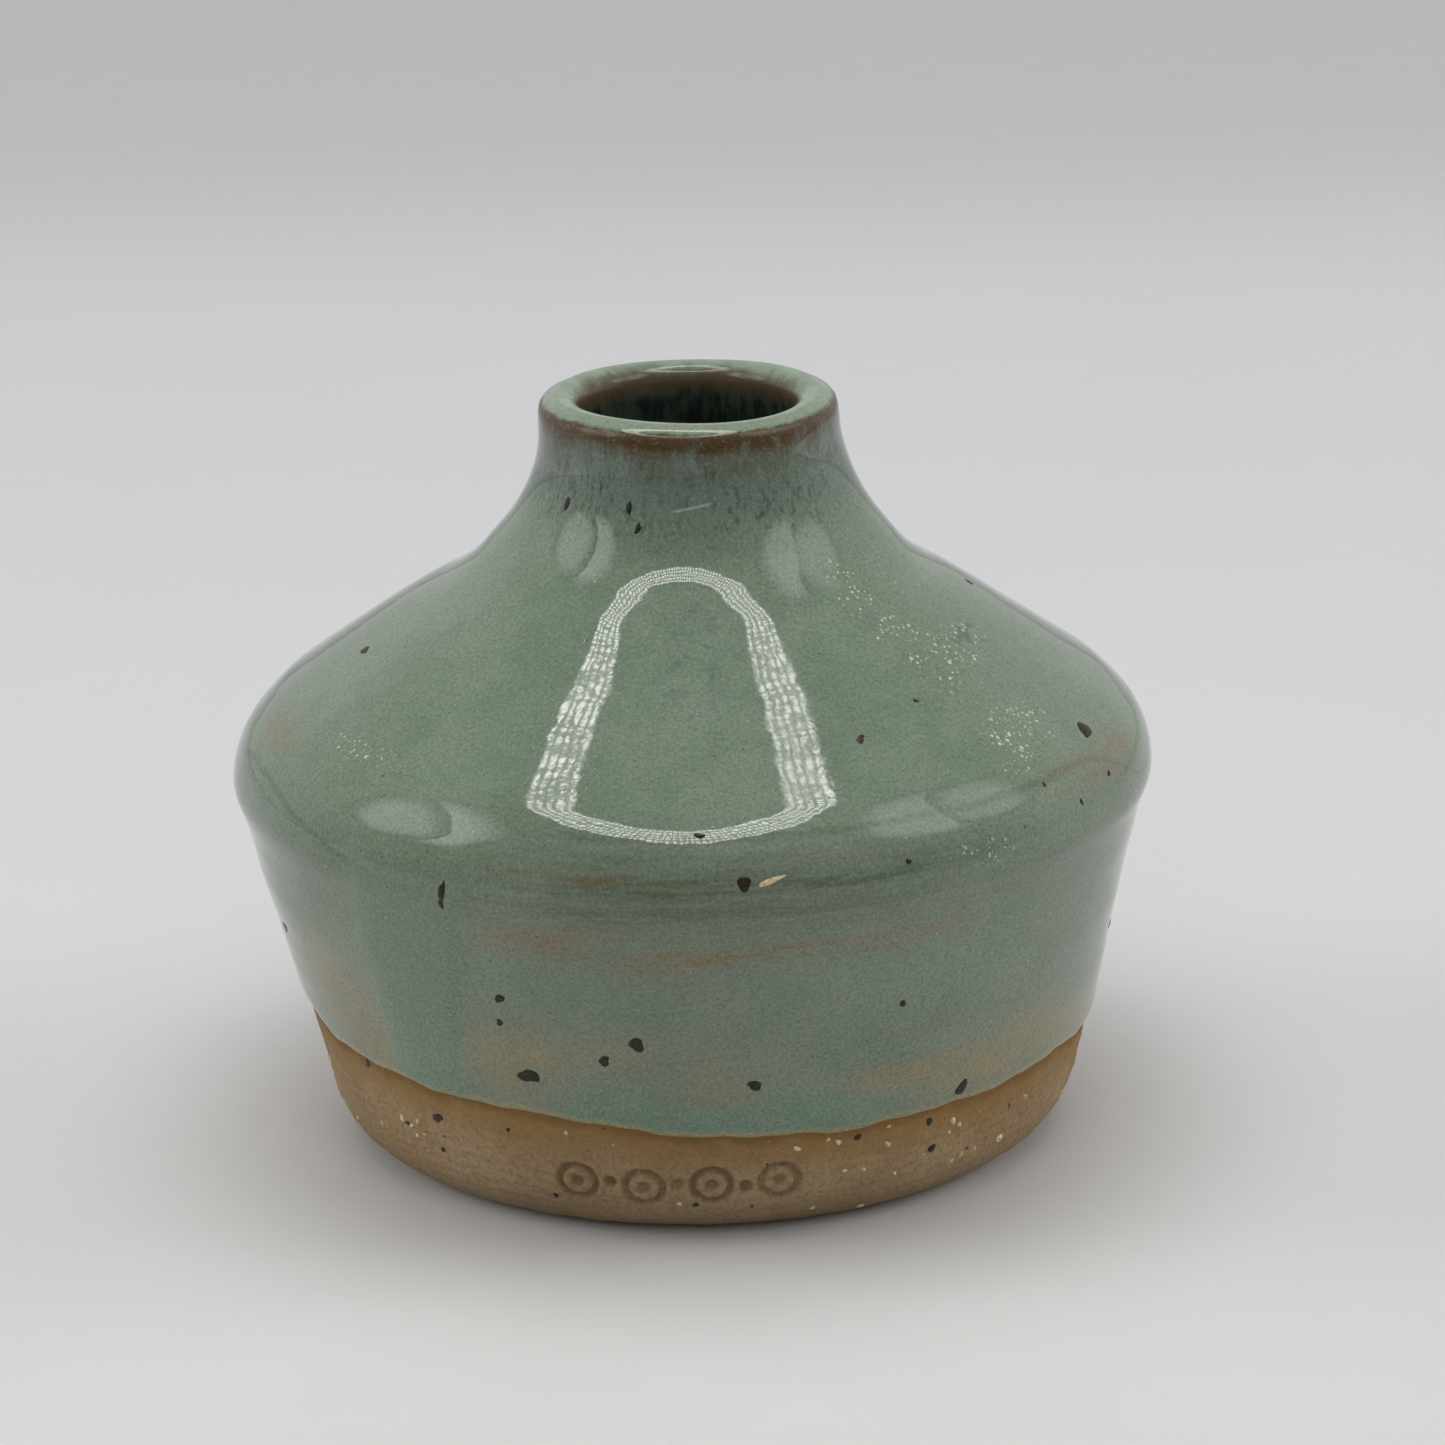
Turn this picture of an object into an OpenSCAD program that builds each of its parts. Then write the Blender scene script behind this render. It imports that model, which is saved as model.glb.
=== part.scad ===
// Bud vase: a thrown stoneware pot with a low belly, a wide sloping shoulder and a short neck,
// glazed inside and out down to a wavy line, with a bare clay foot.
// Millimetres, +Z up, origin on the standing surface under the middle of the foot.

/* [Foot and wall] */
// Radius at which the line of the lower wall would meet the ground
foot_radius = 34.65; // [32:0.05:36.5]
// Rounding of the foot's lower edge
foot_round = 7.6; // [4:0.1:9]
// Radius of the shallow hollow under the foot
base_hollow_radius = 22; // [10:1:25]
// Depth of the hollow under the foot
base_hollow_depth = 0.8; // [0.3:0.1:1.5]

/* [Belly] */
// Radius of the clay at the belly's widest point
belly_radius = 43.65; // [42:0.05:45]
// Height of the belly's widest point
belly_height = 36.4; // [34:0.1:37.5]
// Rounding of the belly below its widest point
belly_round_low = 4.3; // [3:0.1:4.7]
// Rounding of the belly above its widest point
belly_round_high = 6.9; // [4:0.1:9]
// How far the undercut steps in below the belly
undercut_depth = 0.95; // [0.9:0.05:2.5]
// Lean of the undercut, outward from upright, in degrees
undercut_lean = 30; // [22:0.5:31]
// Rounding of the crease between the undercut and the wall
crease_round = 3.6; // [2:0.1:4.5]

/* [Shoulder and neck] */
// Slope of the shoulder, in degrees from level
shoulder_slope = 34.9; // [33:0.1:36]
// Radius of the clay at the top of the neck
neck_radius = 13.9; // [13.5:0.1:15]
// Radius of the sweep from the shoulder up into the neck
neck_sweep = 17.3; // [12:0.1:19]
// Height of the clay, from the ground to the top of the lip
clay_height = 72.1; // [71.5:0.1:75]
// Rounding of the lip's outer edge
lip_round_out = 1.1; // [0.4:0.1:1.3]
// Rounding of the lip's inner edge
lip_round_in = 1.2; // [0.6:0.1:1.4]

/* [Inside] */
// Radius of the throat, in the clay
throat_radius = 11; // [9:0.1:11.4]
// Radius of the sweep from the throat out under the shoulder
throat_sweep = 16; // [10:0.5:17]
// Thickness of the clay in the lower wall
wall_thickness = 4.5; // [3.5:0.1:5.5]
// Thickness of the clay in the shoulder
shoulder_thickness = 4.5; // [3.5:0.1:5]
// Rounding inside the belly
belly_round_inside = 8; // [4:0.5:10]
// Height of the inside floor
floor_height = 6.2; // [4.5:0.1:8]
// Rounding between the floor and the wall
floor_round = 9; // [4:0.5:12]

/* [Glaze] */
// Thickness of the fired glaze, inside and out
glaze = 0.4; // [0.3:0.05:0.6]
// Mean height of the glaze line above the ground
line_height = 12.6; // [12.1:0.1:14]
// Rise of the glaze line on its high side
line_tilt = 1.6; // [0:0.1:2.4]
// Height of the two broad waves in the glaze line
line_wave = 0.8; // [0:0.1:1.2]
// Height of the short ripples in the glaze line
line_ripple = 0.55; // [0:0.05:0.8]

/* [Specks and marks] */
// Depth of the pressed marks on the foot
mark_depth = 0.45; // [0.35:0.05:0.8]
// Outer radius of each pressed ring
ring_radius = 2.1; // [1.5:0.1:2.4]
// Number of pressed rings in the row
ring_count = 4; // [2:1:6]
// How far an iron speck stands out of the glaze
speck_rise = 0.1; // [0.05:0.05:0.2]
// Number of feldspar grains that show in the bare clay
grain_count = 34; // [10:1:60]
// Radius of the largest feldspar grain
grain_radius = 0.45; // [0.3:0.05:0.6]

/* [Hidden] */

$fn = 180;
arc_step = 5;            // degrees between the points of a rounded corner
line_steps = 120;        // points round the glaze line
line_high_side = 184;    // azimuth of the glaze line's high side; 270 is the front
line_wave_top = 170;     // azimuths at which the broad waves and the ripples have a crest
line_ripple_top = 27;
coat_start = 7;          // the outer coat is drawn from this height, then trimmed at its line
reach = 60;              // further out than any part of the vase
lip_middle = (throat_radius + neck_radius) / 2;
mark_pitch = 10;         // degrees between the pressed rings
mark_row_middle = 266;   // azimuth of the middle of their row
mark_height = 6.2;       // height of its middle
mark_row_width = mark_pitch * (ring_count + 1);
mark_row_end = mark_row_middle + mark_row_width / 2;

// Heights of the corners that the belly's roundings replace
belly_low_z = belly_height - belly_round_low * tan(undercut_lean / 2);
belly_high_z = belly_height + belly_round_high * tan((90 - shoulder_slope) / 2);

// The crease at the bottom of the undercut, and the lean of the wall below it
crease_z = belly_low_z - undercut_depth / tan(undercut_lean);
crease_radius = belly_radius - undercut_depth;
wall_lean = atan((crease_radius - foot_radius) / crease_z);

// Where the foot's rounding leaves the ground, and the height at which it meets the wall
foot_contact = foot_radius - foot_round * tan((90 - wall_lean) / 2);
foot_top = foot_round * (1 - sin(wall_lean));

// Lines of the wall and shoulder, outside and inside
function wall_r(z) = foot_radius + z * tan(wall_lean);
function wall_inner_r(z) = wall_r(z) - wall_thickness / cos(wall_lean);
function shoulder_z(r) = belly_high_z + (belly_radius - r) * tan(shoulder_slope);
function shoulder_inner_z(r) = shoulder_z(r) - shoulder_thickness / cos(shoulder_slope);

// Where the inner shoulder's line meets the inner wall's line
inner_belly_z = shoulder_inner_z(wall_inner_r(0))
    / (1 + tan(wall_lean) * tan(shoulder_slope));

// Corners of the clay's outline, as [radius, height, rounding], each set in walking order
base_corners = [
    [0, base_hollow_depth, 0],
    [base_hollow_radius, base_hollow_depth, 2],
    [base_hollow_radius + 3, 0, 2],
    [foot_radius, 0, foot_round]
];
side_corners = [
    [crease_radius, crease_z, crease_round],
    [belly_radius, belly_low_z, belly_round_low],
    [belly_radius, belly_high_z, belly_round_high],
    [neck_radius, shoulder_z(neck_radius), neck_sweep],
    [neck_radius, clay_height, lip_round_out]
];
inside_corners = [
    [throat_radius, clay_height, lip_round_in],
    [throat_radius, shoulder_inner_z(throat_radius), throat_sweep],
    [wall_inner_r(inner_belly_z), inner_belly_z, belly_round_inside],
    [wall_inner_r(floor_height), floor_height, floor_round]
];
floor_middle = [0, floor_height, 0];
lip_top = [lip_middle, clay_height, 0];
coat_bottom = [wall_r(coat_start), coat_start, 0];

// ---- Outline helpers: the clay lies on the left of the walk, so "off" moves it outward ----
function flat(p) = [p[0], p[1]];
function heading(a, b) = (flat(b) - flat(a)) / norm(flat(b) - flat(a));
function outward(u) = [u[1], -u[0]];
function turned(v, angle) = [
    v[0] * cos(angle) - v[1] * sin(angle),
    v[0] * sin(angle) + v[1] * cos(angle)
];

// The arc that rounds corner b, on the way from a to c
function corner_arc(a, b, c, off) =
    let (
        u = heading(a, b),
        w = heading(b, c),
        side = sign(u[0] * w[1] - u[1] * w[0]),
        bend = acos(u * w),
        centre = flat(b) + (w - u) / norm(w - u) * b[2] / cos(bend / 2),
        steps = ceil(bend / arc_step)
    )
    [for (i = [0 : steps])
        centre + (b[2] * side + off) * turned(outward(u), side * bend * i / steps)];

// A whole outline through a list of corners; the first and last are plain ends
function outline(corners, off) =
    let (last = len(corners) - 1)
    concat(
        [flat(corners[0]) + off * outward(heading(corners[0], corners[1]))],
        [for (i = [1 : last - 1])
            each corner_arc(corners[i - 1], corners[i], corners[i + 1], off)],
        [flat(corners[last]) + off * outward(heading(corners[last - 1], corners[last]))]
    );

function backwards(list) = [for (i = [len(list) - 1 : -1 : 0]) list[i]];

// A coat of glaze on the stretch of clay through these corners
module coat(corners) {
    rotate_extrude()
        polygon(concat(outline(corners, glaze), backwards(outline(corners, 0))));
}

// ---- Glaze line ----
function line_z(azimuth) = line_height
    + line_tilt * cos(azimuth - line_high_side)
    + line_wave * cos(2 * (azimuth - line_wave_top))
    + line_ripple * cos(5 * (azimuth - line_ripple_top));

// Everything below the glaze line, as a ring with a wavy top
module below_line() {
    inner = foot_radius - 6;
    azimuths = [for (i = [0 : line_steps - 1]) i * 360 / line_steps];
    function ring(r, level) = [for (a = azimuths)
        [r * cos(a), r * sin(a), level == "line" ? line_z(a) : 0]];
    points = concat(
        ring(inner, "line"), ring(reach, "line"),
        ring(reach, "ground"), ring(inner, "ground")
    );
    n = line_steps;
    polyhedron(points, [
        for (band = [0 : 3]) for (i = [0 : n - 1])
            let (
                j = (i + 1) % n,
                lower = band * n,
                upper = ((band + 1) % 4) * n
            )
            each [
                [lower + i, lower + j, upper + j],
                [lower + i, upper + j, upper + i]
            ]
    ]);
}

// ---- Specks, grains and marks ----
// Iron specks that melted through the glaze, as [azimuth, height, radius]
iron = [
    [337, 42.8, 0.75], [262, 21.7, 0.65], [246, 17.4, 0.7], [309, 12.9, 0.6],
    [276, 38.1, 0.5], [277, 17.2, 0.5], [257, 19.8, 0.45], [239, 35.7, 0.4],
    [244, 25.5, 0.4], [244, 22.8, 0.35], [228, 10.2, 0.45], [306, 7, 0.4],
    [20, 24, 0.6], [62, 41, 0.7], [95, 17, 0.55], [128, 28, 0.65], [160, 12.5, 0.5]
];

// Radius of the clay at a height, from the foot's rounding up to the shoulder
function clay_r(z) =
    z < foot_top ? foot_contact + sqrt(pow(foot_round, 2) - pow(foot_round - z, 2))
    : z < crease_z ? wall_r(z)
    : z < belly_height ? belly_radius - belly_round_low
        + sqrt(max(0, pow(belly_round_low, 2) - pow(belly_height - z, 2)))
    : z < belly_height + belly_round_high * cos(shoulder_slope) ? belly_radius
        - belly_round_high + sqrt(pow(belly_round_high, 2) - pow(z - belly_height, 2))
    : belly_radius - (z - belly_high_z) / tan(shoulder_slope);

// Slope of the surface normal at a height, in degrees above level
function normal_tilt(z) =
    z < foot_top ? -asin((foot_round - z) / foot_round)
    : z < crease_z ? -wall_lean
    : z < belly_height ? -asin(min(1, (belly_height - z) / belly_round_low))
    : min(90 - shoulder_slope, asin(min(1, (z - belly_height) / belly_round_high)));

// Puts its children on the surface, with +Z pointing straight out of it
module on_surface(azimuth, z, off) {
    rotate([0, 0, azimuth])
        translate([clay_r(z), 0, z])
            rotate([0, 90 - normal_tilt(z), 0])
                translate([0, 0, off])
                    children();
}

module specks() {
    for (s = iron) {
        cover = s[1] > line_z(s[0]) ? glaze : 0;
        on_surface(s[0], s[1], cover + speck_rise - s[2])
            sphere(r = s[2]);
    }
}

// Grains are scattered over the bare foot by the golden angle
function grain_azimuth(i) = mark_row_end + ((i * 137.508) % 360) * (1 - mark_row_width / 360);
function grain_z(i) = 6.6 + 2 * sin(i * 73);
function grain_size(i) = grain_radius * (0.65 + 0.35 * sin(i * 211));

module grains() {
    for (i = [0 : grain_count - 1])
        on_surface(grain_azimuth(i), grain_z(i), -0.6 * grain_size(i))
            sphere(r = grain_size(i), $fn = 32);
}

// A row of pressed rings with a dot in each and a dot between each two
module pressed_marks() {
    dot = ring_radius * 0.3;
    for (i = [0 : ring_count - 1]) {
        azimuth = mark_row_middle + mark_pitch * (i - (ring_count - 1) / 2);
        on_surface(azimuth, mark_height, -mark_depth) {
            difference() {
                cylinder(r = ring_radius, h = 4);
                translate([0, 0, -1])
                    cylinder(r = ring_radius * 0.68, h = 6);
            }
            cylinder(r = dot, h = 4);
        }
        if (i < ring_count - 1)
            on_surface(azimuth + mark_pitch / 2, mark_height, -mark_depth)
                cylinder(r = dot, h = 4);
    }
}

// ---- Sub-parts ----
// The thrown clay: hollow foot, wall, belly, shoulder, neck and lip in one piece
module stoneware_body() {
    corners = concat(base_corners, side_corners, inside_corners, [floor_middle]);
    color("#8c7659")
        difference() {
            rotate_extrude() polygon(outline(corners, 0));
            pressed_marks();
            specks();
            grains();
        }
}

// The outside coat, from the wavy line up over the lip's outer edge
module outer_glaze() {
    color("#76917f")
        difference() {
            coat(concat([coat_bottom], side_corners, [lip_top]));
            below_line();
            specks();
        }
}

// The inside coat, from the top of the lip down the throat and over the floor
module liner_glaze() {
    color("#4c6457")
        coat(concat([lip_top], inside_corners, [floor_middle]));
}

module iron_specks() {
    color("#2b2a20") specks();
}

module feldspar_grains() {
    color("#d9c9a3") grains();
}

stoneware_body();
outer_glaze();
liner_glaze();
iron_specks();
feldspar_grains();
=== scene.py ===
"""Ceramic bud vase: a thrown stoneware pot with a glossy celadon glaze and a bare clay foot.

Every piece is lathed from the CAD's outline, then given what the wheel, the brush and the kiln leave: a
slightly wandering axis, throwing rings, a rolled glaze edge with a drip, melted iron specks and grains.
Lengths are in millimetres until a mesh is written, which is in metres.
"""

import math

import bpy
import numpy as np
from mathutils import Matrix, Vector


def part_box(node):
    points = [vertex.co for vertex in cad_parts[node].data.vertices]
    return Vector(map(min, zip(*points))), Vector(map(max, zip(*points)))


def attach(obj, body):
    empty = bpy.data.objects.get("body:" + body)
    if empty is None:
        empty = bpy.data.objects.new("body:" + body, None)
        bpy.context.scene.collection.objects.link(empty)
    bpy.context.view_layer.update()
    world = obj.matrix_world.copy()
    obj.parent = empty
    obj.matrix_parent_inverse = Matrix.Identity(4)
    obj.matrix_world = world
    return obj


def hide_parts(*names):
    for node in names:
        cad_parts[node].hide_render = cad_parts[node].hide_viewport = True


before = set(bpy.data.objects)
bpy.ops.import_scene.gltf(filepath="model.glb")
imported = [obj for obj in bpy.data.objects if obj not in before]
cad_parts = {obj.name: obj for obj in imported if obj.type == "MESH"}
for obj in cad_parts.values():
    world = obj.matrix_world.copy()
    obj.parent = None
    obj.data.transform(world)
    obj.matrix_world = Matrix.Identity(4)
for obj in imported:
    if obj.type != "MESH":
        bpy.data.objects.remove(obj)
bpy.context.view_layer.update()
MM = 0.001

# ------------------------------------------------------------------ sizes worked out from the frame
clay_low, clay_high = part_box("stoneware_body")
glaze_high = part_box("outer_glaze")[1]
CLAY_HEIGHT = clay_high.z / MM
BELLY_RADIUS = clay_high.x / MM
GLAZE = (glaze_high.z - clay_high.z) / MM

FOOT_RADIUS, FOOT_ROUND = 34.65, 7.6
BASE_HOLLOW_RADIUS, BASE_HOLLOW_DEPTH = 22.0, 0.8
BELLY_HEIGHT, BELLY_ROUND_LOW, BELLY_ROUND_HIGH = 36.4, 4.3, 6.9
UNDERCUT_DEPTH, UNDERCUT_LEAN, CREASE_ROUND = 0.95, 22.0, 13.0
SHOULDER_SLOPE, NECK_RADIUS, NECK_SWEEP = 34.9, 13.9, 17.3
LIP_ROUND_OUT, LIP_ROUND_IN = 1.1, 1.2
THROAT_RADIUS, THROAT_SWEEP = 11.0, 16.0
WALL, BELLY_ROUND_INSIDE, FLOOR_HEIGHT, FLOOR_ROUND = 4.5, 8.0, 6.2, 9.0
LIP_MIDDLE = (THROAT_RADIUS + NECK_RADIUS) / 2

tan = lambda d: math.tan(math.radians(d))
cos = lambda d: math.cos(math.radians(d))

belly_low_z = BELLY_HEIGHT - BELLY_ROUND_LOW * tan(UNDERCUT_LEAN / 2)
belly_high_z = BELLY_HEIGHT + BELLY_ROUND_HIGH * tan((90 - SHOULDER_SLOPE) / 2)
crease_z = belly_low_z - UNDERCUT_DEPTH / tan(UNDERCUT_LEAN)
crease_radius = BELLY_RADIUS - UNDERCUT_DEPTH
wall_lean = math.degrees(math.atan((crease_radius - FOOT_RADIUS) / crease_z))
wall_inner_r = lambda z: FOOT_RADIUS + z * tan(wall_lean) - WALL / cos(wall_lean)
shoulder_z = lambda r: belly_high_z + (BELLY_RADIUS - r) * tan(SHOULDER_SLOPE)
shoulder_inner_z = lambda r: shoulder_z(r) - WALL / cos(SHOULDER_SLOPE)
inner_belly_z = shoulder_inner_z(wall_inner_r(0)) / (1 + tan(wall_lean) * tan(SHOULDER_SLOPE))

# Corners of the clay's outline as (radius, height, rounding), from the middle of the base to the inside floor
CORNERS = [
    (0, BASE_HOLLOW_DEPTH, 0),
    (BASE_HOLLOW_RADIUS, BASE_HOLLOW_DEPTH, 2),
    (BASE_HOLLOW_RADIUS + 3, 0, 2),
    (FOOT_RADIUS, 0, FOOT_ROUND),
    (crease_radius, crease_z, CREASE_ROUND),
    (BELLY_RADIUS, belly_low_z, BELLY_ROUND_LOW),
    (BELLY_RADIUS, belly_high_z, BELLY_ROUND_HIGH),
    (NECK_RADIUS, shoulder_z(NECK_RADIUS), NECK_SWEEP),
    (NECK_RADIUS, CLAY_HEIGHT, LIP_ROUND_OUT),
    (THROAT_RADIUS, CLAY_HEIGHT, LIP_ROUND_IN),
    (THROAT_RADIUS, shoulder_inner_z(THROAT_RADIUS), THROAT_SWEEP),
    (wall_inner_r(inner_belly_z), inner_belly_z, BELLY_ROUND_INSIDE),
    (wall_inner_r(FLOOR_HEIGHT), FLOOR_HEIGHT, FLOOR_ROUND),
    (0, FLOOR_HEIGHT, 0),
]


class Outline:
    """The rounded outline: arc length to point and outward normal, both in the (radius, height) plane."""

    def __init__(self, corners):
        points, normals = [], []
        flat = [np.array(c[:2], float) for c in corners]

        def heading(a, b):
            return (b - a) / np.linalg.norm(b - a)

        def put(p, n):
            points.append(p)
            normals.append(n)

        first = heading(flat[0], flat[1])
        put(flat[0], np.array([first[1], -first[0]]))
        for i in range(1, len(flat) - 1):
            u, w = heading(flat[i - 1], flat[i]), heading(flat[i], flat[i + 1])
            side = math.copysign(1, u[0] * w[1] - u[1] * w[0])
            bend = math.acos(max(-1, min(1, float(u @ w))))
            radius = corners[i][2]
            centre = flat[i] + (w - u) / np.linalg.norm(w - u) * radius / math.cos(bend / 2)
            steps = max(2, math.ceil(math.degrees(bend)))
            for k in range(steps + 1):
                t = side * bend * k / steps
                c, d = math.cos(t), math.sin(t)
                n = np.array([u[1] * c + u[0] * d, u[1] * d - u[0] * c])
                put(centre + radius * side * n, n)
        last = heading(flat[-2], flat[-1])
        put(flat[-1], np.array([last[1], -last[0]]))
        self.p, self.n = np.array(points), np.array(normals)
        self.s = np.r_[0, np.cumsum(np.hypot(*np.diff(self.p, axis=0).T))]
        self.length = self.s[-1]

    def at(self, s):
        pick = lambda table: np.stack([np.interp(s, self.s, table[:, k]) for k in (0, 1)], -1)
        return pick(self.p), pick(self.n)

    def s_of_height(self, z, lo, hi):
        """Arc length at a height, on the rising stretch between two arc lengths."""
        grid = np.linspace(lo, hi, 1500)
        return np.interp(z, self.at(grid)[0][:, 1], grid)


outline = Outline(CORNERS)
S_BELLY = float(outline.s[np.argmax(outline.p[:, 0])])
S_FOOT = float(outline.s[np.nonzero(outline.p[:, 1] < 1e-6)[0][-1]])
S_LIP = float(outline.s[np.argmax(outline.p[:, 1])]) + (NECK_RADIUS - LIP_ROUND_OUT - LIP_MIDDLE)


# ------------------------------------------------------------------ small numeric helpers
def smooth(a, b, x):
    t = np.clip((np.asarray(x, float) - a) / (b - a), 0, 1)
    return t * t * (3 - 2 * t)


def turn(azimuth, centre):
    """Signed angle from centre, in degrees, within -180 to 180."""
    return (np.asarray(azimuth, float) - centre + 180) % 360 - 180


def ripples(points, wavelength, seed, waves=14):
    """Smooth random field in about -1 to 1: a sum of plane waves in seeded directions."""
    rng = np.random.default_rng(seed)
    total = np.zeros(points.shape[:-1])
    for _ in range(waves):
        d = rng.normal(size=3)
        d /= np.linalg.norm(d)
        k = 2 * math.pi / (wavelength * rng.uniform(0.7, 1.5))
        total += np.sin(points @ d * k + rng.uniform(0, 6.283))
    return total / math.sqrt(waves)


def rises(z, rows):
    """Sum of smooth rises, each as (from height, to height, how much)."""
    return sum(much * smooth(low, high, z) for low, high, much in rows)


# How far the thrown axis sits to the right at the foot, and how it then wanders on the way up
FOOT_SHIFT = 0.3
WANDER = [(10, 32, -0.6), (33, 41, 0.2), (41, 47, -0.1), (47, 64, 0.45), (65, 73, -0.3)]


def wander(z):
    """How far the thrown axis wanders to the side at each height."""
    return FOOT_SHIFT + rises(z, WANDER)


def place(azimuth, s, off):
    """Points on the pot: azimuth in degrees, arc length along the outline, offset along the normal."""
    p, n = outline.at(s)
    rz = p + n * np.asarray(off)[..., None]
    a = np.radians(azimuth)
    return np.stack([rz[..., 0] * np.cos(a) + wander(rz[..., 1]), rz[..., 0] * np.sin(a), rz[..., 1]], -1)


# How the thrown shoulder and neck rise and fall from the CAD's straight cone and arc: drawn in over the
# belly, out at the shoulder's edge, fuller to its middle, dipping under the neck, full at the neck's root,
# slimmer up to the lip
SWELL = [(35.5, 39, -0.14), (41.2, 43.2, 0.34), (44, 49, 0.05), (50, 53.5, -0.1), (53.5, 58, 0.35),
         (58, 70, -0.55), (69.5, 71.8, -0.17)]
SIDE_DENT, SIDE_DENT_HEIGHT = 0.35, 55


def throw(azimuth, s):
    """Unevenness that the hands leave in the clay, along its normal: throwing rings, flats and a soft lip."""
    p, _ = outline.at(s)
    z = p[..., 1]
    around = np.radians(azimuth)
    rings = 0.012 * np.sin(2 * math.pi * z / 2.9 + around + 0.6 * np.sin(2 * around))
    rings += 0.035 * np.sin(2 * math.pi * z / 7.3 + around)
    on_wall = smooth(9, 16, z) * (1 - smooth(33, 36, z))
    on_shoulder = smooth(43, 47, z) * (1 - smooth(58, 62, z))
    outside = s < S_LIP
    xyz = place(azimuth, s, np.zeros_like(s))
    flats = 0.07 * ripples(xyz, 26, 5) + 0.012 * ripples(xyz, 7, 6)
    swell = rises(z, SWELL)
    swell -= SIDE_DENT * np.cos(around) ** 2 * np.exp(-((z - SIDE_DENT_HEIGHT) / 2.2) ** 2)
    uneven = np.sin(np.radians(2 * azimuth + 40)) + 0.6 * np.sin(np.radians(3 * azimuth + 10))
    lip = smooth(68, 71.5, z) * 0.12 * uneven
    turned = np.where(outside, (on_wall + 0.35 * on_shoulder) * rings + swell, 0)
    return turned + flats * smooth(3, 9, z) + lip


# ------------------------------------------------------------------ glaze line, drip and pools
# Local rises and dips of the line, as (azimuth, half-width in degrees, rise)
LINE_STEPS = [(196, 5, 0.3), (212, 6, 0.35), (231, 6, -0.30), (250, 5, -0.2), (290, 5, -0.35),
              (299, 6, -0.1), (311, 14, -1.0)]


def line_z(azimuth):
    """Height of the glaze's lower edge: the CAD's waves, with the steps and ragged edge of a dipped pot."""
    a = np.radians(azimuth)
    wave = 12.6 + 1.6 * np.cos(a - math.radians(184)) + 0.8 * np.cos(2 * (a - math.radians(170)))
    wave += 0.55 * np.cos(5 * (a - math.radians(27)))
    ragged = 0.12 * np.sin(13 * a + 1) + 0.08 * np.sin(29 * a + 2.2) + 0.05 * np.sin(61 * a)
    return wave + ragged + sum(rise * np.exp(-(turn(azimuth, at) / w) ** 2) for at, w, rise in LINE_STEPS)


# Drips as (azimuth at the foot of the drip, half-width, lean in degrees per mm of height, top height)
DRIPS = [(229.4, 6.2, 0.16, 44), (71, 4.2, -0.10, 33), (148, 3.4, 0.05, 28)]


def drip_mask(azimuth, z, soft):
    total = np.zeros(np.broadcast(azimuth, z).shape)
    for a, half, lean, top in DRIPS:
        rise = np.clip(z - 16, 0, None)
        width = half + 0.13 * rise
        d = turn(azimuth, a + lean * rise)
        inside = smooth(-width - soft, -width + soft, d) * (1 - smooth(width - soft, width + soft, d))
        total = np.maximum(total, inside * (1 - smooth(top - 9, top, z)))
    return total


def patches(azimuth, z, rows):
    """Sum of soft ovals, each as (azimuth, height, half-width in degrees, half-height in mm, strength)."""
    total = np.zeros(np.broadcast(azimuth, z).shape)
    for a, h, w, t, strength in rows:
        d2 = (turn(azimuth, a) / w) ** 2 + ((z - h) / t) ** 2
        total += strength * np.exp(-d2 ** 1.6)
    return np.clip(total, 0, 1)


# Bright pooled glaze along the line
POOLS = [(259, 14.6, 9, 2.2, 0.9), (267, 13.4, 8, 1.5, 0.7), (283, 13.6, 10, 2.3, 1.0),
         (297, 13.6, 5, 1.1, 0.5), (24, 12.6, 14, 1.8, 0.8), (100, 12.6, 12, 1.6, 0.7),
         (172, 16.6, 12, 1.6, 0.6)]
# Thin glaze that lets the clay's tan through
THIN = [(212, 21, 10, 5.5, 0.75), (218, 16.5, 6, 3.0, 0.6), (243, 18.5, 7, 4.5, 0.85),
        (253, 20, 9, 3.0, 0.45), (272, 17, 6, 1.8, 0.7), (296, 16.4, 7, 1.3, 0.95),
        (313, 13.8, 14, 1.6, 0.6), (307, 16, 9, 2.0, 0.8), (322, 16.5, 12, 3.0, 0.75),
        (338, 14.5, 12, 2.6, 0.8), (268, 20.5, 14, 1.6, 0.3), (8, 17, 14, 3, 0.8), (45, 18, 12, 4, 0.7),
        (92, 16, 8, 3, 0.7), (122, 18, 14, 4, 0.8), (170, 21, 12, 4, 0.6)]
# Rust-brown throwing bands where the glaze breaks
BANDS = [(250, 31.6, 9, 1.5, 0.9), (259, 33.6, 14, 1.2, 0.5), (266, 30.4, 8, 1.4, 0.75),
         (277, 31.6, 10, 1.3, 0.95), (296, 31.2, 11, 1.1, 0.85), (253, 38.7, 8, 0.8, 0.95),
         (268, 38.2, 12, 0.6, 0.5), (288, 40.0, 6, 0.8, 0.4), (302, 20.8, 9, 0.7, 0.35),
         (338, 40.8, 9, 1.6, 0.8), (326, 41.0, 8, 1.2, 0.5), (195, 42.2, 8, 1.5, 0.5),
         (12, 36.8, 20, 1.6, 0.8), (60, 31.5, 26, 1.3, 0.8), (105, 38.6, 22, 0.9, 0.8),
         (150, 31.8, 24, 1.2, 0.7), (352, 31.4, 18, 1.2, 0.6)]
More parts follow.
